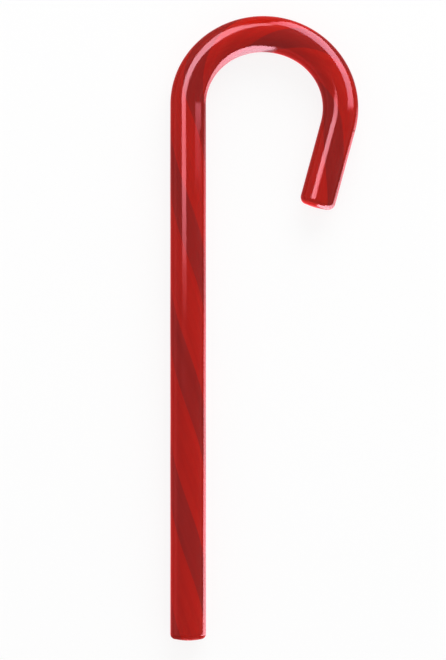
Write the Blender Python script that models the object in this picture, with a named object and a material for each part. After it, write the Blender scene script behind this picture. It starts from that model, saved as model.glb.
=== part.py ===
# A candy cane of boiled sugar, lying down: one round stick bent over into a crook.
#
# Metres, +Z up. The foot of the stem is at -Y and the crook at +Y, turning over to +X,
# with the tail coming back towards the foot. The origin is under the middle of the
# cane's outline, at the height of the narrow flat that runs along its underside.

import math

import bmesh
import bpy

# Driving dimensions
STICK_RADIUS = 0.00400
STEM_LENGTH = 0.12055  # from the tip of the foot to the start of the crook
NEAR_REACH = 0.01680  # across, from the stem to the top of the crook
NEAR_RISE = 0.01575  # along, from the start of the crook to its top
FAR_REACH = 0.01745  # across, from the top of the crook to its outermost point
FAR_DROP = 0.01655  # along, from the top of the crook back to its outermost point
TAIL_LENGTH = 0.01900  # the straight end past the crook, to its tip
TAIL_LEAN = math.radians(15.2)  # how far the tail leans in towards the stem

# Each cut end: how far its rounded rim goes along the stick and in from its side, and how
# far its face swells past the rim
FOOT_END = (0.0012, 0.0012, 0.0003)
TAIL_END = (0.0017, 0.0015, 0.0002)

# Fineness of the facets
ROUND_SIDES = 48  # sides of the full round
FLAT_SIDES = 4  # of those, the lowest ones, which the flat underside cuts off
STEM_STEPS = 8
QUARTER_STEPS = 20
TAIL_STEPS = 4
RIM_STEPS = 4
DOME_STEPS = 3

SIDE_ANGLE = 2 * math.pi / ROUND_SIDES
FLAT_HALF_ANGLE = FLAT_SIDES / 2 * SIDE_ANGLE
AXIS_HEIGHT = STICK_RADIUS * math.cos(FLAT_HALF_ANGLE)
FOOT_SETBACK = FOOT_END[0] + FOOT_END[2]
TAIL_SETBACK = TAIL_END[0] + TAIL_END[2]

# The outline's box is centred on the origin.
STEM_X = -(NEAR_REACH + FAR_REACH) / 2
TOP_X = STEM_X + NEAR_REACH
FOOT_Y = -(STEM_LENGTH + NEAR_RISE + STICK_RADIUS) / 2
CROOK_START_Y = FOOT_Y + STEM_LENGTH
TOP_Y = CROOK_START_Y + NEAR_RISE


def clear_scene():
    for item in list(bpy.data.objects):
        bpy.data.objects.remove(item, do_unlink=True)


def straight_run(start, heading, length, steps):
    """Stations (x, y, heading angle) at equal steps along a straight line."""
    stations = []
    for step in range(steps + 1):
        along = length * step / steps
        x = start[0] + along * math.cos(heading)
        y = start[1] + along * math.sin(heading)
        stations.append((x, y, heading))
    return stations


def elliptic_run(centre, reach, rise, first, last, steps):
    """Stations on an ellipse, turning clockwise from one parameter angle to the other."""
    stations = []
    for step in range(steps + 1):
        angle = first + (last - first) * step / steps
        x = centre[0] + reach * math.cos(angle)
        y = centre[1] + rise * math.sin(angle)
        heading = math.atan2(-rise * math.cos(angle), reach * math.sin(angle))
        stations.append((x, y, heading))
    return stations


def centre_line():
    """Stations along the middle of the stick, between the two rounded ends."""
    stem = straight_run(
        (STEM_X, FOOT_Y + FOOT_SETBACK), math.pi / 2, STEM_LENGTH - FOOT_SETBACK, STEM_STEPS
    )
    near = elliptic_run(
        (TOP_X, CROOK_START_Y), NEAR_REACH, NEAR_RISE, math.pi, math.pi / 2, QUARTER_STEPS
    )
    # The far side keeps turning past the outermost point until it leans as the tail does.
    last_angle = -math.atan2(FAR_DROP * math.sin(TAIL_LEAN), FAR_REACH * math.cos(TAIL_LEAN))
    far = elliptic_run(
        (TOP_X, TOP_Y - FAR_DROP), FAR_REACH, FAR_DROP, math.pi / 2, last_angle, QUARTER_STEPS
    )
    tail_x, tail_y, tail_heading = far[-1]
    tail = straight_run(
        (tail_x, tail_y), tail_heading, TAIL_LENGTH - TAIL_SETBACK, TAIL_STEPS
    )
    return stem + near[1:] + far[1:] + tail[1:]


def end_profile(rim_along, rim_in, dome):
    """(distance past the last full section, share of the full radius), rim to middle.

    The rim is a quarter of an ellipse, and the face inside it is a shallow dome whose
    height falls off with the square of the distance from the axis.
    """
    face_radius = STICK_RADIUS - rim_in
    profile = []
    for step in range(1, RIM_STEPS + 1):
        turn = math.pi / 2 * step / RIM_STEPS
        past = rim_along * math.sin(turn)
        radius = face_radius + rim_in * math.cos(turn)
        profile.append((past, radius / STICK_RADIUS))
    for step in range(1, DOME_STEPS):
        share = 1 - step / DOME_STEPS
        past = rim_along + dome * (1 - share**2)
        profile.append((past, share * face_radius / STICK_RADIUS))
    return profile


def section(station, share):
    """One ring of the round stick with its flat underside, square to the centre line."""
    x, y, heading = station
    ring = []
    for side in range(ROUND_SIDES - FLAT_SIDES + 1):
        angle = -math.pi / 2 + FLAT_HALF_ANGLE + side * SIDE_ANGLE
        outward = share * STICK_RADIUS * math.cos(angle)
        height = AXIS_HEIGHT + share * STICK_RADIUS * math.sin(angle)
        ring.append((x + outward * math.sin(heading), y - outward * math.cos(heading), height))
    return ring


def moved_along(station, distance):
    x, y, heading = station
    return (x + distance * math.cos(heading), y + distance * math.sin(heading), heading)


def all_sections():
    """Every ring from the foot to the tail, and the point at the tip of each."""
    stations = centre_line()
    first, last = stations[0], stations[-1]
    foot = [section(moved_along(first, -past), share) for past, share in end_profile(*FOOT_END)]
    body = [section(station, 1.0) for station in stations]
    tail = [section(moved_along(last, past), share) for past, share in end_profile(*TAIL_END)]
    foot_x, foot_y, _ = moved_along(first, -FOOT_SETBACK)
    tail_x, tail_y, _ = moved_along(last, TAIL_SETBACK)
    tips = [(foot_x, foot_y, AXIS_HEIGHT), (tail_x, tail_y, AXIS_HEIGHT)]
    return foot[::-1] + body + tail, tips


def sugar_material():
    material = bpy.data.materials.new("boiled_sugar")
    material.use_nodes = True
    shader = material.node_tree.nodes["Principled BSDF"]
    shader.inputs["Base Color"].default_value = (0.355, 0.016, 0.012, 1.0)
    shader.inputs["Roughness"].default_value = 0.12
    shader.inputs["Metallic"].default_value = 0.0
    return material


def make_cane():
    """The whole cane as one closed skin: rings joined in turn, then drawn in to each tip."""
    bm = bmesh.new()
    sections, tips = all_sections()
    rings = [[bm.verts.new(point) for point in ring] for ring in sections]
    for lower, upper in zip(rings, rings[1:]):
        for side in range(len(lower)):
            bm.faces.new((lower[side - 1], lower[side], upper[side], upper[side - 1]))
    for ring, tip in zip((rings[0], rings[-1]), tips):
        centre = bm.verts.new(tip)
        for side in range(len(ring)):
            bm.faces.new((ring[side - 1], ring[side], centre))
    bmesh.ops.recalc_face_normals(bm, faces=bm.faces)

    mesh = bpy.data.meshes.new("candy_cane")
    bm.to_mesh(mesh)
    bm.free()
    mesh.shade_smooth()
    mesh.set_sharp_from_angle(angle=math.radians(25))
    mesh.materials.append(sugar_material())
    cane = bpy.data.objects.new("candy_cane", mesh)
    bpy.context.scene.collection.objects.link(cane)
    return cane


clear_scene()
make_cane()
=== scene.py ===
import math

import bpy
import numpy as np
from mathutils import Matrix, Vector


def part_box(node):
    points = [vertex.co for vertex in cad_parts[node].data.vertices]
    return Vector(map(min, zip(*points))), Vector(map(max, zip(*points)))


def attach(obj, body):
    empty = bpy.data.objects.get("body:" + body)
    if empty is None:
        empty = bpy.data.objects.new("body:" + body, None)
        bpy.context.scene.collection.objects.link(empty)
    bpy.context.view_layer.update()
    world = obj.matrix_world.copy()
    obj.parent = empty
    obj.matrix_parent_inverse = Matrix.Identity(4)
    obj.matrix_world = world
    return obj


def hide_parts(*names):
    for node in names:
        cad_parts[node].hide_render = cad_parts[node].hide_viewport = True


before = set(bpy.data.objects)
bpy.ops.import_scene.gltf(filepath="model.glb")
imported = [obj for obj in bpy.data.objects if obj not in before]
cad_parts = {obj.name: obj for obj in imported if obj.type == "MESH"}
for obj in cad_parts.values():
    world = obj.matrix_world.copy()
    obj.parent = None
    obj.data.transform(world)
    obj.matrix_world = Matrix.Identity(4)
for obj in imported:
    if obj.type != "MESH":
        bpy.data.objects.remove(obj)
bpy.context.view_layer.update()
caneLow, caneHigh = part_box("candy_cane")
print("frame: one lying cane, loaded")

mm = 0.001
degree = math.pi / 180


# Adds a node, sets its plain inputs and its properties, and gives it back.
def addNode(tree, kind, inputs=None, **properties):
    node = tree.nodes.new(kind)
    for name, value in properties.items():
        setattr(node, name, value)
    for name, value in (inputs or {}).items():
        if isinstance(value, bpy.types.NodeSocket):
            tree.links.new(value, node.inputs[name])
        else:
            node.inputs[name].default_value = value
    return node


def addMath(tree, operation, first, second=0.0, third=0.0):
    return addNode(
        tree, "ShaderNodeMath", {0: first, 1: second, 2: third}, operation=operation
    ).outputs[0]


# Rises smoothly from first to last while value goes from low to high.
def addRamp(tree, value, low, high, first=0.0, last=1.0):
    return addNode(
        tree,
        "ShaderNodeMapRange",
        {"Value": value, "From Min": low, "From Max": high, "To Min": first, "To Max": last},
        interpolation_type="SMOOTHSTEP",
    ).outputs["Result"]


# Goes from the first colour to the second with share, or blends them in another way.
def addMix(tree, share, first, second, blend="MIX"):
    node = tree.nodes.new("ShaderNodeMix")
    node.data_type = "RGBA"
    node.blend_type = blend
    node.clamp_factor = True
    for name, value in (("Factor_Float", share), ("A_Color", first), ("B_Color", second)):
        socket = next(s for s in node.inputs if s.identifier == name)
        if isinstance(value, bpy.types.NodeSocket):
            tree.links.new(value, socket)
        else:
            socket.default_value = value
    return next(s for s in node.outputs if s.identifier == "Result_Color")


# The same number as red, green and blue.
def addGrey(tree, value):
    return addNode(tree, "ShaderNodeCombineColor", {0: value, 1: value, 2: value}).outputs[0]


def newMaterial(name):
    material = bpy.data.materials.new(name)
    material.use_nodes = True
    return material, material.node_tree, material.node_tree.nodes["Principled BSDF"]


# A material that only shines, with no surface of its own.
def newLight(name):
    material, tree, _ = newMaterial(name)
    tree.nodes.clear()
    return material, tree


def putInScene(name, data):
    item = bpy.data.objects.new(name, data)
    bpy.context.scene.collection.objects.link(item)
    return item


# Joins rows of points into an open sheet of quads.
def sheetMesh(name, points):
    rows, across = points.shape[:2]
    corner = np.arange(rows * across).reshape(rows, across)
    quads = np.stack([corner[:-1, :-1], corner[1:, :-1], corner[1:, 1:], corner[:-1, 1:]], axis=-1)
    mesh = bpy.data.meshes.new(name)
    mesh.from_pydata(points.reshape(-1, 3).tolist(), [], quads.reshape(-1, 4).tolist())
    return mesh


def addAttribute(mesh, name, kind, field, values):
    attribute = mesh.attributes.new(name, kind, "POINT")
    attribute.data.foreach_set(field, values.astype(np.float32).ravel())


caneShape = {
    "flatHalfAngle": 15 * degree,  # half the arc that the flat underneath cuts off
    "nearReach": 16.80 * mm,  # across, stem to the top of the crook
    "nearRise": 15.75 * mm,  # along, start of the crook to its top
    "farReach": 17.45 * mm,  # across, top of the crook to its outermost point
    "farDrop": 16.55 * mm,  # along, top of the crook back to that point
    "tailLean": 15.2 * degree,
    "tailLength": 19.00 * mm,
    # each cut end: its rounded rim goes so far along the stick and in from its side, its
    # face swells so far past the rim, and its coloured skin is so thick round the core,
    # and gives way to it over so much
    "foot": {"along": 1.2 * mm, "in": 1.2 * mm, "dome": 0.3 * mm, "skin": 2.8 * mm, "edge": 1.4 * mm},
    "tail": {"along": 1.7 * mm, "in": 1.5 * mm, "dome": 0.2 * mm, "skin": 0.3 * mm, "edge": 0.12 * mm},
    "ringsApart": 0.22 * mm,
    "traced": {"stem": 300, "near": 600, "far": 700, "tail": 60},  # points before they are evened
    "pointsAround": 96,
    "dullFrom": 0.14,  # how far into the foot's rim its dull cut starts
    "rimRings": 12,
    "faceRings": 14,
}

twistShape = {
    "stripeAt": 23.9 * mm,  # from the foot, where a dark stripe faces straight up
    "stemTwist": 5.194 * degree / mm,
    "crookTwist": 2.28 * degree / mm,  # more twist at the top of the crook
    "crookTwistPast": 1.5 * mm,  # how far past the top it is tightest
    "crookTwistSpread": 15.0 * mm,
    "stripeHalfWidth": 36.0 * degree,
}

reliefShape = {
    "stripeLift": 0.004 * mm,  # the darker sugar stands this much proud
    "stripeShoulder": 8.0 * degree,
    "rollSwell": 0.007 * mm,  # slow unevenness along the stick, from hand rolling
    "rollWaves": [(0.19, 0.6, 1.0), (0.43, 2.1, 0.6)],  # each wave's turn per mm, start, share
    "rollOval": 0.008 * mm,
    "ovalTurn": 0.031,  # turn per mm
    "pullGroove": 0.0004 * mm,  # fine grooves that follow the twist, from pulling
    # how many go round, their start, how far they sway, the sway's turn per mm and start, share
    "grooveSets": [(17, 0.0, 1.3, 0.05, 0.0, 1.0), (26, 2.0, 1.7, 0.037, 1.0, 0.8)],
    "bendSwell": 0.09 * mm,  # thicker where it was bent the most
    "bendSwellPast": 5.0 * mm,
    "bendSwellSpread": 6.5 * mm,
}


# The middle of the stick, foot to tail, at even steps:
#   the stem is straight up Y; each side of the crook is a quarter ellipse,
#   x = centre + reach * cos(angle), y = centre + rise * sin(angle), and the far one
#   goes on until it leans as the tail does; the tail is straight again.
def stickPath(shape, radius):
    footSetback = shape["foot"]["along"] + shape["foot"]["dome"]
    tailSetback = shape["tail"]["along"] + shape["tail"]["dome"]
    stemX = caneLow.x + radius
    topX, topY = stemX + shape["nearReach"], caneHigh.y - radius
    lastAngle = -math.atan2(
        shape["farDrop"] * math.sin(shape["tailLean"]),
        shape["farReach"] * math.cos(shape["tailLean"]),
    )
    traced = shape["traced"]
    nearAngle = np.linspace(math.pi, math.pi / 2, traced["near"])
    farAngle = np.linspace(math.pi / 2, lastAngle, traced["far"])[1:]
    nearX = topX + shape["nearReach"] * np.cos(nearAngle)
    nearY = topY - shape["nearRise"] + shape["nearRise"] * np.sin(nearAngle)
    farX = topX + shape["farReach"] * np.cos(farAngle)
    farY = topY - shape["farDrop"] + shape["farDrop"] * np.sin(farAngle)
    nearHeading = np.arctan2(
        -shape["nearRise"] * np.cos(nearAngle), shape["nearReach"] * np.sin(nearAngle)
    )
    farHeading = np.arctan2(
        -shape["farDrop"] * np.cos(farAngle), shape["farReach"] * np.sin(farAngle)
    )
    tailRun = np.linspace(0, shape["tailLength"] - tailSetback, traced["tail"])[1:]
    tailX = farX[-1] + tailRun * math.cos(farHeading[-1])
    tailY = farY[-1] + tailRun * math.sin(farHeading[-1])
    stemY = np.linspace(caneLow.y + footSetback, nearY[0], traced["stem"])[:-1]

    x = np.concatenate([np.full_like(stemY, stemX), nearX, farX, tailX])
    y = np.concatenate([stemY, nearY, farY, tailY])
    heading = np.concatenate(
        [np.full_like(stemY, math.pi / 2), nearHeading, farHeading, np.full_like(tailX, farHeading[-1])]
    )
    run = footSetback + np.concatenate([[0], np.cumsum(np.hypot(np.diff(x), np.diff(y)))])
    count = int((run[-1] - run[0]) / shape["ringsApart"])
    even = np.linspace(run[0], run[-1], count)
    topStep = len(stemY) + len(nearAngle) - 1
    return {
        "run": even,
        "x": np.interp(even, run, x),
        "y": np.interp(even, run, y),
        "heading": np.interp(even, run, heading),
        "topRun": run[topStep],
        "tailRun": run[topStep + len(farAngle)],
    }


# A rounded end: past the last full ring the rim is a quarter of an ellipse, and inside
# it the face is a dome whose height falls off with the square of the distance from the
# axis. Gives how far past the last full ring, and the share of the full radius.
def endProfile(shape, end, radius):
    face = radius - end["in"]
    turn = np.linspace(0, math.pi / 2, shape["rimRings"] + 1)[1:]
    rimPast = end["along"] * np.sin(turn)
    rimShare = (face + end["in"] * np.cos(turn)) / radius
    inward = np.linspace(1, 0, shape["faceRings"] + 1)[1:-1]
    facePast = end["along"] + end["dome"] * (1 - inward**2)
    return np.concatenate([rimPast, facePast]), np.concatenate([rimShare, inward * face / radius])


# A bell: e to the power of minus half the square of the distance over the spread.
def bell(run, middle, spread):
    return np.exp(-0.5 * ((run - middle) / spread) ** 2)


# How far the stick is turned at each place along it: the running sum of the twist per
# length, which is even on the stem and rises to a bell-shaped peak at the crook's top.
def twistAlong(run, topRun, twist):
    tightest = topRun + twist["crookTwistPast"]
    rate = twist["stemTwist"] + twist["crookTwist"] * bell(run, tightest, twist["crookTwistSpread"])
    steps = 0.5 * (rate[1:] + rate[:-1]) * np.diff(run)
    turned = np.concatenate([[0], np.cumsum(steps)])
    return turned - np.interp(twist["stripeAt"], run, turned)


# Joins rows of points into a closed skin: quads between the rows, and a fan of
# triangles from each end row to its tip.
def closedSkin(name, rows, tips, attributes):
    count, around = rows.shape[:2]
    points = np.concatenate([rows.reshape(-1, 3), tips])
    corner = np.arange(count * around).reshape(count, around)
    nextRound = np.roll(corner, -1, axis=1)
    quads = np.stack([corner[:-1], nextRound[:-1], nextRound[1:], corner[1:]], axis=-1)
    footTip, tailTip = count * around, count * around + 1
    foot = np.stack([nextRound[0], corner[0], np.full(around, footTip)], axis=-1)
    tail = np.stack([corner[-1], nextRound[-1], np.full(around, tailTip)], axis=-1)
    faces = quads.reshape(-1, 4).tolist() + foot.tolist() + tail.tolist()

    mesh = bpy.data.meshes.new(name)
    mesh.from_pydata(points.tolist(), [], faces)
    mesh.shade_smooth()
    for attribute in attributes:
        addAttribute(mesh, *attribute)
    return putInScene(name, mesh)


# The skin of the cane. A point at angle a round the stick and distance s along it is
#   middle(s) + share(s) * (radius + relief(a, s)) * (sin a * across(s) + cos a * up),
# and what would be below the surface it lies on is flattened onto it.
def buildCane(shape, twist, relief):
    radius = (caneHigh.z - caneLow.z) / (1 + math.cos(shape["flatHalfAngle"]))
    axisHeight = caneHigh.z - radius
    path = stickPath(shape, radius)
    footPast, footShare = endProfile(shape, shape["foot"], radius)
    tailPast, tailShare = endProfile(shape, shape["tail"], radius)

    run = np.concatenate(
        [path["run"][0] - footPast[::-1], path["run"], path["run"][-1] + tailPast]
    )
    share = np.concatenate([footShare[::-1], np.ones_like(path["run"]), tailShare])
    heading = np.interp(run, path["run"], path["heading"])
    overrun = np.clip(run - path["run"][-1], 0, None) - np.clip(path["run"][0] - run, 0, None)
    middleX = np.interp(run, path["run"], path["x"]) + overrun * np.cos(heading)
    middleY = np.interp(run, path["run"], path["y"]) + overrun * np.sin(heading)
    turned = twistAlong(run, path["topRun"], twist)

    perRing = shape["pointsAround"]
    angle, _ = np.meshgrid(np.arange(perRing) * 2 * math.pi / perRing, run)
    unturned = angle + turned[:, None]
    stripeWave = np.cos(2 * unturned)
    edge = math.cos(2 * twist["stripeHalfWidth"])
    shoulder = math.sin(relief["stripeShoulder"])
    lifted = 0.5 + 0.5 * np.tanh((stripeWave - edge) / (2 * shoulder))
    alongMm = run[:, None] / mm
    swell = sum(part * np.sin(alongMm * turn + start) for turn, start, part in relief["rollWaves"])
    oval = np.cos(2 * angle - alongMm * relief["ovalTurn"])
    bend = bell(run[:, None], path["topRun"] + relief["bendSwellPast"], relief["bendSwellSpread"])
    groove = sum(
        part * np.cos(count * unturned + start + sway * np.sin(alongMm * turn + swayStart))
        for count, start, sway, turn, swayStart, part in relief["grooveSets"]
    )
    out = (
        relief["stripeLift"] * lifted
        + relief["rollSwell"] * swell
        + relief["rollOval"] * oval
        + relief["pullGroove"] * groove
        + relief["bendSwell"] * bend
    )
    full = (radius + out) * share[:, None]
    acrossX, acrossY = np.sin(heading)[:, None], -np.cos(heading)[:, None]
    rows = np.stack(
        [
            middleX[:, None] + full * np.sin(angle) * acrossX,
            middleY[:, None] + full * np.sin(angle) * acrossY,
            np.maximum(axisHeight + full * np.cos(angle), caneLow.z),
        ],
        axis=-1,
    )
    # the middle of each dome is past its last ring by the dome's height over the rings squared
    footStep = -shape["foot"]["dome"] / shape["faceRings"] ** 2
    tailStep = shape["tail"]["dome"] / shape["faceRings"] ** 2
    tips = np.array(
        [
            [
                middleX[end] + step * math.cos(heading[end]),
                middleY[end] + step * math.sin(heading[end]),
                axisHeight,
            ]
            for end, step in ((0, footStep), (-1, tailStep))
        ]
    )
    # where each point was in the straight, untwisted stick: across, across, along
    straight = np.stack(
        [
            full * np.sin(unturned),
            full * np.cos(unturned),
            np.broadcast_to(run[:, None], full.shape),
        ],
        axis=-1,
    ).reshape(-1, 3)
    tipStraight = np.array([[0, 0, run[0]], [0, 0, run[-1]]])
    wave = np.concatenate([stripeWave.ravel(), [0, 0]])
    # on each cut end the coloured skin gives way to the core some way in from the rim, and the core is
    # painted a brighter red as a painted glow on the cut face
    atFoot = run < path["topRun"]
    skin = np.where(atFoot, shape["foot"]["skin"], shape["tail"]["skin"])
    edgeWidth = np.where(atFoot, shape["foot"]["edge"], shape["tail"]["edge"])
    depth = (radius * (1 - share) - skin) / edgeWidth
    bareAndGlowing = np.broadcast_to(np.clip(0.5 + 0.5 * depth, 0, 1)[:, None], full.shape)
    bareAndGlowing = np.concatenate([bareAndGlowing.ravel(), [1, 1]])
    skinOfCane = closedSkin(
        "boiled_sugar_cane",
        rows,
        tips,
        [
            ("straightStick", "FLOAT_VECTOR", "vector", np.concatenate([straight, tipStraight])),
            ("stripeWave", "FLOAT", "value", wave),
            ("bareCoreAndGlow", "FLOAT", "value", bareAndGlowing),
        ],
    )
    # the foot's cut end is the second material, from a little way into its rim to its tip
    dullRings = int(np.sum(footPast > shape["dullFrom"] * shape["foot"]["along"]))
    kind = np.zeros(len(skinOfCane.data.polygons), np.int32)
    kind[: (dullRings - 1) * perRing] = 1
    kind[-2 * perRing : -perRing] = 1
    skinOfCane.data.polygons.foreach_set("material_index", kind)
    return skinOfCane


sugarLook = {
    "bright": (0.470, 0.0095, 0.0034, 1.0),
    "dark": (0.312, 0.0105, 0.0066, 1.0),
    # the cut core: its own red, painted brighter as a painted glow on the cut face
    "coreWithPaintedGlow": (0.800, 0.0280, 0.0200, 1.0),
    "edgeSoftness": 0.045,
    "edgeWaver": 0.16,
    "streakGrain": (1500, 1500, 34),  # across, across and along the untwisted stick
    "streakNoise": (3.0, 0.6),  # detail and roughness of the noise
    "streakContrast": 0.05,
    "cloudGrain": (330, 330, 22),
    "cloudNoise": (2.0, 0.5),
    "cloudContrast": 0.05,
    "toneSpan": (0.25, 0.75),  # the noise where the sugar is darkest and palest
    "roughness": 0.08,
    "roughSpread": (-0.03, 0.04),
    "roughSpan": (0.3, 0.7),
    "bump": 0.06,
    "bumpDepth": 0.02 * mm,
    "ior": 1.52,
    "specular": 0.75,
    "specularTint": (1.0, 0.33, 0.37, 1.0),
    "glow": 0.50,
    "glowDepth": 1.8 * mm,
    "glowColours": (1.0, 0.12, 0.08),
}

# the foot's cut end is dull, and its colours are painted paler: painted light against the shade where its
# rim faces away from the key, and a painted reflection of the sky that its low gloss no longer shows
cutLookPaintedLighter = {
    "bright": (0.520, 0.0140, 0.0080, 1.0),
    "dark": (0.345, 0.0145, 0.0110, 1.0),
    "roughness": 0.55,
    "specular": 0.03,
}


# Noise drawn out along the untwisted stick, so that it follows the twist.
def addDrawnNoise(tree, straight, grain, noise):
    drawnOut = addNode(tree, "ShaderNodeMapping", {"Vector": straight, "Scale": grain}).outputs["Vector"]
    inputs = {"Vector": drawnOut, "Scale": 1.0, "Detail": noise[0], "Roughness": noise[1]}
    return addNode(tree, "ShaderNodeTexNoise", inputs).outputs["Fac"]


# Sugar with two darker stripes, pulled streaks and broad clouds.
def sugarMaterial(name, look, twist):
    material, tree, shader = newMaterial(name)
    straight = addNode(tree, "ShaderNodeAttribute", attribute_name="straightStick").outputs["Vector"]
    wave = addNode(tree, "ShaderNodeAttribute", attribute_name="stripeWave").outputs["Fac"]

    streaks = addDrawnNoise(tree, straight, look["streakGrain"], look["streakNoise"])
    clouds = addDrawnNoise(tree, straight, look["cloudGrain"], look["cloudNoise"])

    # the stripe's edge wavers a little with the clouds
    edge = math.cos(2 * twist["stripeHalfWidth"]) + look["edgeWaver"] / 2
    wavering = addMath(tree, "MULTIPLY_ADD", clouds, look["edgeWaver"], wave)
    stripe = addRamp(tree, wavering, edge - look["edgeSoftness"], edge + look["edgeSoftness"])

    # on the cut ends the stripes stop at the bare core, which is painted a brighter red as a painted glow
    # on the cut face
    bareAndGlowing = addNode(tree, "ShaderNodeAttribute", attribute_name="bareCoreAndGlow").outputs["Fac"]
    striped = addMix(tree, stripe, look["bright"], look["dark"])
    sugar = addMix(tree, bareAndGlowing, striped, look["coreWithPaintedGlow"])
    tones = [
        addRamp(tree, noise, *look["toneSpan"], 1 - contrast, 1 + contrast)
        for noise, contrast in ((streaks, look["streakContrast"]), (clouds, look["cloudContrast"]))
    ]
    tone = addGrey(tree, addMath(tree, "MULTIPLY", *tones))
    tree.links.new(addMix(tree, 1.0, sugar, tone, blend="MULTIPLY"), shader.inputs["Base Color"])

    limits = [look["roughness"] + spread for spread in look["roughSpread"]]
    tree.links.new(addRamp(tree, clouds, *look["roughSpan"], *limits), shader.inputs["Roughness"])
    uneven = {"Height": streaks, "Strength": look["bump"], "Distance": look["bumpDepth"]}
    bumped = addNode(tree, "ShaderNodeBump", uneven).outputs["Normal"]
    tree.links.new(bumped, shader.inputs["Normal"])

    shader.inputs["IOR"].default_value = look["ior"]
    shader.inputs["Specular IOR Level"].default_value = look["specular"]
    shader.inputs["Specular Tint"].default_value = look["specularTint"]
    shader.inputs["Subsurface Weight"].default_value = look["glow"]
    shader.inputs["Subsurface Radius"].default_value = look["glowColours"]
    shader.inputs["Subsurface Scale"].default_value = look["glowDepth"]
    return material


stickRadius = (caneHigh.z - caneLow.z) / (1 + math.cos(caneShape["flatHalfAngle"]))
cane = buildCane(caneShape, twistShape, reliefShape)
cane.data.materials.append(sugarMaterial("boiled_sugar", sugarLook, twistShape))
# the dull foot end, with its colours painted paler as painted light and painted reflection
cane.data.materials.append(sugarMaterial("cut_sugar", {**sugarLook, **cutLookPaintedLighter}, twistShape))
cane.visible_glossy = False  # its gloss shows the cards all round, and not its own tail
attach(cane, "root")
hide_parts("candy_cane")
print("cane:", len(cane.data.polygons), "faces")


floorLook = {
    "size": 12.0,
    "colour": (0.14, 0.14, 0.14, 1.0),
    "grain": 60.0,
    "grainDetail": 2.0,
    "grainSpan": (0.3, 0.7),
    "grainTones": (0.99, 1.0),
    "roughness": 0.9,
    "lit": 0.865,  # a lit table, so shadows on it stay light
    "below": 0.02 * mm,  # under what the cane lies on
}


# A square table top just under the cane.
def buildFloor(look):
    half = look["size"] / 2
    height = caneLow.z - look["below"]
    corners = [(-half, -half, height), (half, -half, height), (half, half, height), (-half, half, height)]
    mesh = bpy.data.meshes.new("pale_floor")
    mesh.from_pydata(corners, [], [(0, 1, 2, 3)])
    material, tree, shader = newMaterial("pale_floor")
    place = addNode(tree, "ShaderNodeTexCoord").outputs["Object"]
    noise = {"Vector": place, "Scale": look["grain"], "Detail": look["grainDetail"]}
    grain = addNode(tree, "ShaderNodeTexNoise", noise).outputs["Fac"]
    tone = addGrey(tree, addRamp(tree, grain, *look["grainSpan"], *look["grainTones"]))
    tree.links.new(addMix(tree, 1.0, look["colour"], tone, "MULTIPLY"), shader.inputs["Base Color"])
    shader.inputs["Roughness"].default_value = look["roughness"]
    shader.inputs["Specular IOR Level"].default_value = 0.0
    shader.inputs["Emission Color"].default_value = (1, 1, 1, 1)
    shader.inputs["Emission Strength"].default_value = look["lit"]
    mesh.materials.append(material)
    floor = putInScene("pale_floor", mesh)
    floor.visible_glossy = False  # the sugar mirrors the studio's cards, not the floor


# What only the sugar's gloss sees: the cards that light it, and the shades between them.
def forGlossOnly(item):
    item.visible_camera = False
    item.visible_diffuse = False
    item.visible_transmission = False
    item.visible_volume_scatter = False
    item.visible_shadow = False


shadeLook = {
    # half the ribbon's width, how far under what the cane lies on, how far past the crook's top
    "contact": {"halfWidth": 3.4 * mm, "below": 0.03 * mm, "until": 15.0 * mm, "steps": 240},
    "contactColour": (0.11, 0.045, 0.045, 1.0),
    # how far the fin reaches out, and how high and low
    "fin": {"reach": 14.0 * mm, "top": 12.0 * mm, "bottom": -6.0 * mm},
    "finColour": (0.30, 0.20, 0.20, 1.0),
}


# A sheet of one dim colour.
def buildShade(name, points, colour):
    mesh = sheetMesh(name, points)
    material, tree = newLight(name)
    emission = addNode(tree, "ShaderNodeEmission", {"Color": colour, "Strength": 1.0}).outputs[0]
    addNode(tree, "ShaderNodeOutputMaterial", {"Surface": emission})
    mesh.materials.append(material)
    forGlossOnly(putInScene(name, mesh))


# Two shades. The dark line where the stick meets the table is a ribbon under its middle,
# as wide to both sides, from the foot to a little past the top of the crook. The fin
# stands square to the stick where the tail starts and reaches out from its middle, so
# that the tail's side doesn't mirror the arch when it is seen from its end.
def buildShades(look, shape):
    path = stickPath(shape, stickRadius)
    contact, fin = look["contact"], look["fin"]
    run = np.linspace(path["run"][0], path["topRun"] + contact["until"], contact["steps"])
    heading = np.interp(run, path["run"], path["heading"])
    middle = np.stack([np.interp(run, path["run"], path[axis]) for axis in "xy"], axis=-1)
    across = np.stack([np.sin(heading), -np.cos(heading)], axis=-1) * contact["halfWidth"]
    sides = np.stack([middle - across, middle + across], axis=1)
    height = np.full(sides.shape[:2] + (1,), caneLow.z - contact["below"])
    buildShade("contact_shade", np.concatenate([sides, height], axis=-1), look["contactColour"])

    tailHeading = path["heading"][-1]
    foot = np.array([np.interp(path["tailRun"], path["run"], path[axis]) for axis in "xy"])
    tip = foot + fin["reach"] * np.array([-math.sin(tailHeading), math.cos(tailHeading)])
    corners = [[[*end, level] for level in (fin["bottom"], fin["top"])] for end in (foot, tip)]
    buildShade("tail_shade", np.array(corners), look["finColour"])


skyLook = {
    "light": 0.60,  # what lights everything evenly
    "mirrored": 0.40,  # what the gloss shows of it
    "below": 0.14,  # what the gloss shows below the horizon
    "belowAt": (-0.30, -0.08),  # the height of a direction, where one gives way to the other
    "ahead": 0.20,  # and straight on past the crook, as a share of the rest
    "aheadAt": (0.95, 0.985),
    "table": (0.80, 0.24, 0.28, 1.0),  # and straight down: the red the cane throws on it
    "tableAt": (-0.72, -0.96),
    "backdrop": 0.97,  # what the camera sees past the floor
}


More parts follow.
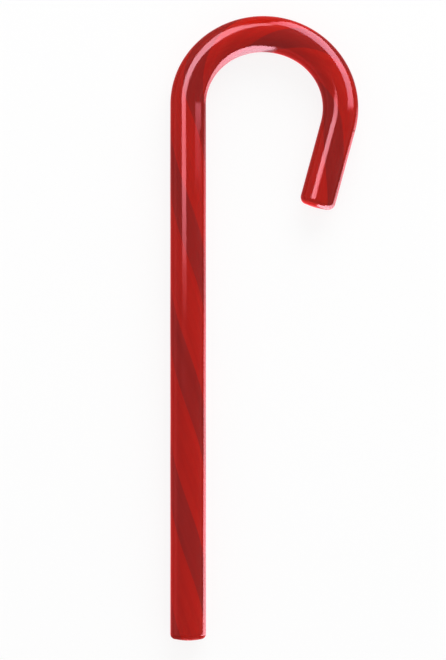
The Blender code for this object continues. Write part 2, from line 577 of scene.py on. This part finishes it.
# Even soft light from everywhere. The gloss sees it dimmer below the horizon and ahead,
# and red straight down.
def buildSky(look):
    world = bpy.data.worlds.new("soft_studio")
    bpy.context.scene.world = world
    world.use_nodes = True
    tree = world.node_tree
    background = tree.nodes["Background"]
    direction = addNode(tree, "ShaderNodeTexCoord").outputs["Generated"]
    parts = addNode(tree, "ShaderNodeSeparateXYZ", {0: direction}).outputs
    even = addRamp(tree, parts["Z"], *look["belowAt"], look["below"], look["mirrored"])
    ahead = addRamp(tree, parts["Y"], *look["aheadAt"], 1.0, look["ahead"])
    level = addMath(tree, "MULTIPLY", even, ahead)
    white = addMix(tree, level, (0, 0, 0, 1), (1, 1, 1, 1))
    glossy = addMix(tree, addRamp(tree, parts["Z"], *look["tableAt"]), white, look["table"])
    rays = addNode(tree, "ShaderNodeLightPath")
    light, backdrop = look["light"], look["backdrop"]
    shown = addMix(tree, rays.outputs["Is Glossy Ray"], (light, light, light, 1), glossy)
    shown = addMix(tree, rays.outputs["Is Camera Ray"], shown, (backdrop, backdrop, backdrop, 1))
    tree.links.new(shown, background.inputs["Color"])
    background.inputs["Strength"].default_value = 1.0


keyLook = {
    "azimuth": 75 * degree,
    "elevation": 28 * degree,
    "distance": 1.0,
    "size": 0.9,
    "power": 7.6,
}


# A round soft light, low past the crook and turned towards the cane.
def buildKey(look):
    light = bpy.data.lights.new("soft_key", "AREA")
    light.shape = "DISK"
    light.size = look["size"]
    light.energy = look["power"]
    key = putInScene("soft_key", light)
    flat = math.cos(look["elevation"]) * look["distance"]
    key.location = (
        flat * math.cos(look["azimuth"]),
        flat * math.sin(look["azimuth"]),
        math.sin(look["elevation"]) * look["distance"],
    )
    key.rotation_mode = "QUATERNION"
    key.rotation_quaternion = key.location.to_track_quat("Z", "Y")
    key.visible_glossy = False
    key.visible_camera = False


# Light cards that only the sugar's gloss sees. A card is laid out by where it shows on a
# ball under the camera: where the ball slopes by n, it mirrors the camera towards
# 2 * n.up * n - up, and the card is put in that direction.
cardRing = {
    "middle": np.array([0.0, caneHigh.y - 22 * mm, stickRadius]),
    "distance": 0.5,
    "steps": 160,
    "across": 24,
}

leftArch = {
    # angle round the arch in degrees, inner and outer slope, brightness, coolness
    "stations": [
        (105, 0.440, 0.500, 0.50, 1.20),
        (112, 0.386, 0.500, 0.61, 1.20),
        (120, 0.378, 0.530, 0.66, 1.26),
        (130, 0.374, 0.610, 0.70, 1.52),
        (140, 0.372, 0.648, 0.86, 1.26),
        (150, 0.366, 0.625, 1.0, 1.32),
        (163, 0.358, 0.612, 1.0, 1.5),
        (178, 0.366, 0.580, 1.0, 1.52),
        (190, 0.348, 0.550, 0.97, 1.12),
        (202, 0.335, 0.518, 0.94, 0.86),
        (214, 0.310, 0.440, 0.93, 0.93),
    ],
    "fade": (-0.042, -0.016),  # how far down this leg goes, and where it starts to fade
    "step": (0.000, 0.022, 0.88),  # above that it brightens again, from this share
    "outerDim": 0.1,  # how much less cool it is at its outer edge
    "blue": 1.08,
}

rightArch = {
    "stations": [
        (-44, 0.200, 0.610, 0.95, 0.78),
        (-28, 0.236, 0.565, 0.86, 0.80),
        (-12, 0.266, 0.545, 0.66, 1.02),
        (10, 0.268, 0.550, 0.57, 1.46),
        (30, 0.270, 0.560, 0.74, 1.32),
        (46, 0.280, 0.582, 0.80, 1.36),
        (60, 0.297, 0.636, 0.73, 1.30),
        (75, 0.342, 0.664, 0.66, 1.32),
        (84, 0.380, 0.686, 0.55, 1.30),
        (94, 0.432, 0.630, 0.57, 1.14),
        (105, 0.462, 0.540, 0.50, 0.84),
    ],
    "fade": (-0.012, 0.040),
    "outerDim": 0.45,
    "blue": 1.20,
}

archLook = {
    "middle": (0.18, 0.12),  # slopes across and along
    "glow": 8.0,
    "fadeWarm": 0.35,  # how much less cool the light is where it has faded
    "halves": {"left_arch_card": leftArch, "right_arch_card": rightArch},
}


# Every column of the stations after the first, in even steps of the first. Between two
# stations it is the cubic that leaves each with the slope of its neighbours, kept
# between their two values.
def eased(stations, steps):
    table = np.array(sorted(stations), float)
    at, values = table[:, 0], table[:, 1:]
    along = np.linspace(at[0], at[-1], steps)
    index = np.clip(np.searchsorted(at, along, side="right") - 1, 0, len(at) - 2)
    gap = (at[index + 1] - at[index])[:, None]
    share = (along - at[index])[:, None] / gap
    slope = np.gradient(values, at, axis=0)
    first, last = values[index], values[index + 1]
    smooth = (
        (2 * share**3 - 3 * share**2 + 1) * first
        + (share**3 - 2 * share**2 + share) * gap * slope[index]
        + (3 * share**2 - 2 * share**3) * last
        + (share**3 - share**2) * gap * slope[index + 1]
    )
    smooth = np.clip(smooth, np.minimum(first, last), np.maximum(first, last))
    return along * degree, [column[:, None] for column in smooth.T]


# Three times the square of the share of the way from low to high, less twice its cube.
def smoothStep(value, low, high):
    share = np.clip((value - low) / (high - low), 0, 1)
    return share * share * (3 - 2 * share)


# Where the ball mirrors the camera to, for slopes n given across and along.
def mirrored(slopeX, slopeY):
    up = np.sqrt(np.clip(1 - slopeX**2 - slopeY**2, 1e-6, None))
    return np.stack([2 * up * slopeX, 2 * up * slopeY, 2 * up**2 - 1], axis=-1)


def cardMaterial(name, strength):
    material, tree = newLight(name)
    glow = addNode(tree, "ShaderNodeAttribute", attribute_name="glow").outputs["Vector"]
    emission = addNode(tree, "ShaderNodeEmission", {"Color": glow, "Strength": strength}).outputs[0]
    clear = addNode(tree, "ShaderNodeBsdfTransparent").outputs[0]  # the sky shows where it fades
    both = addNode(tree, "ShaderNodeAddShader", {0: emission, 1: clear}).outputs[0]
    addNode(tree, "ShaderNodeOutputMaterial", {"Surface": both})
    return material


# A sheet lit by a brightness and a coolness at each point: the red is the brightness, the
# green is that times the coolness, and the blue is the green times one more factor.
def buildCard(name, points, level, cool, blue, strength):
    mesh = sheetMesh(name, points)
    glow = np.stack(np.broadcast_arrays(level, level * cool, level * cool * blue), axis=-1)
    addAttribute(mesh, "glow", "FLOAT_VECTOR", "vector", glow)
    mesh.materials.append(cardMaterial(name, strength))
    forGlossOnly(putInScene(name, mesh))


# The two halves of a bent soft box over the crook: rings round its middle, from the inner
# slope to the outer one.
def buildArch(look, ring):
    share = np.linspace(0, 1, ring["across"] + 1)
    for name, half in look["halves"].items():
        angle, (inner, outer, level, cool) = eased(half["stations"], ring["steps"])
        radius = inner + (outer - inner) * share
        slopeX = look["middle"][0] + radius * np.cos(angle)[:, None]
        slopeY = look["middle"][1] + radius * np.sin(angle)[:, None]
        fade = smoothStep(slopeY, *half["fade"])
        if "step" in half:
            low, high, least = half["step"]
            fade = fade * (least + (1 - least) * smoothStep(slopeY, low, high))
        cool = cool * (1 - half["outerDim"] * share**2) * (1 - look["fadeWarm"] * (1 - fade))
        points = ring["middle"] + ring["distance"] * mirrored(slopeX, slopeY)
        buildCard(name, points, level * fade, cool, half["blue"], look["glow"])


bounceLook = {
    # compass angle in degrees, inner slope, where it dims to the outside, brightness, coolness
    "stations": [
        (-101.5, 0.655, 0.76, 0.0, 1.15),
        (-100, 0.660, 0.80, 0.55, 1.15),
        (-97, 0.665, 0.86, 0.92, 1.15),
        (-93, 0.662, 0.92, 1.02, 1.12),
        (-88, 0.646, 1.0, 1.03, 1.12),
        (-75, 0.624, 1.10, 1.03, 1.10),
        (-66, 0.645, 1.12, 1.03, 1.06),
        (-60, 0.656, 1.15, 1.0, 1.0),
        (-53, 0.690, 1.15, 0.96, 0.92),
        (-45, 0.738, 1.15, 0.92, 0.84),
        (-34, 0.816, 1.15, 0.88, 0.72),
        (-27, 0.843, 1.15, 0.82, 0.62),
        (-18, 0.872, 1.15, 0.76, 0.56),
        (-11, 0.886, 1.15, 0.64, 0.48),
        (-6, 0.888, 1.15, 0.48, 0.40),
        (0, 0.896, 1.15, 0.34, 0.40),
        (4, 0.920, 1.15, 0.0, 0.38),
    ],
    "distance": 0.25,
    "outer": 0.998,  # slope at its outer edge
    "dimWidth": 0.10,
    "dimTo": 0.20,  # share of its light that is left where it has dimmed
    "glow": 17.0,
    "blue": 1.16,
    "outerDim": 0.5,
    "falloff": 0.72,
}

# The red that the stem and the tail throw on each other, round the crook's lower left.
redGlowLook = {
    **bounceLook,
    "stations": [
        (-196, 0.640, 1.15, 0.0, 0.045),
        (-178, 0.630, 1.15, 0.36, 0.045),
        (-153, 0.620, 1.15, 0.62, 0.045),
        (-130, 0.610, 1.15, 1.0, 0.045),
        (-108, 0.610, 1.15, 1.0, 0.045),
        (-101, 0.610, 1.15, 0.9, 0.045),
        (-97, 0.620, 1.15, 0.0, 0.045),
    ],
    "glow": 1.25,
    "falloff": 0.0,
}


# A low wall round the crook, from each station's inner slope out to nearly level. Its
# light falls off with a power of how far the ball still faces up, and dims past a slope.
def buildBounce(name, look, ring):
    angle, (inner, dimAt, level, cool) = eased(look["stations"], ring["steps"])
    share = np.linspace(0, 1, ring["across"] + 1)
    slope = inner + (look["outer"] - inner) * share
    way = mirrored(slope * np.cos(angle)[:, None], slope * np.sin(angle)[:, None])
    flat = np.hypot(way[..., 0], way[..., 1])
    points = ring["middle"] + way * (look["distance"] / flat)[..., None]
    dim = smoothStep(slope, dimAt - look["dimWidth"] / 2, dimAt + look["dimWidth"] / 2)
    level = level * (1 - slope**2) ** look["falloff"] * (1 - (1 - look["dimTo"]) * dim)
    cool = cool * (1 - look["outerDim"] * share**2)
    buildCard(name, points, level, cool, look["blue"], look["glow"])


cameraLook = {
    "distance": 2.5,
    "aim": (-9.28 * mm, -0.35 * mm),  # the middle of the picture, from the cane's middle
    "tall": 148.32 * mm,  # what the picture's long side takes in
    "sensor": 36.0,
    "clip": (0.1, 20.0),
}


# Straight down on the cane: the lens is the sensor times the distance over what it takes in.
def buildCamera(look):
    lens = bpy.data.cameras.new("camera")
    lens.sensor_width = look["sensor"]
    lens.lens = look["sensor"] * look["distance"] / look["tall"]
    lens.clip_start, lens.clip_end = look["clip"]
    camera = putInScene("camera", lens)
    camera.location = (look["aim"][0], look["aim"][1], stickRadius + look["distance"])
    bpy.context.scene.camera = camera


buildFloor(floorLook)
buildShades(shadeLook, caneShape)
print("table: floor, contact shade and tail shade")
buildSky(skyLook)
buildKey(keyLook)
buildArch(archLook, cardRing)
buildBounce("bounce_card", bounceLook, cardRing)
buildBounce("red_glow_card", redGlowLook, cardRing)
print("lights: sky, key and cards")
buildCamera(cameraLook)
bpy.context.scene.view_settings.view_transform = "Standard"
print("camera: straight down")
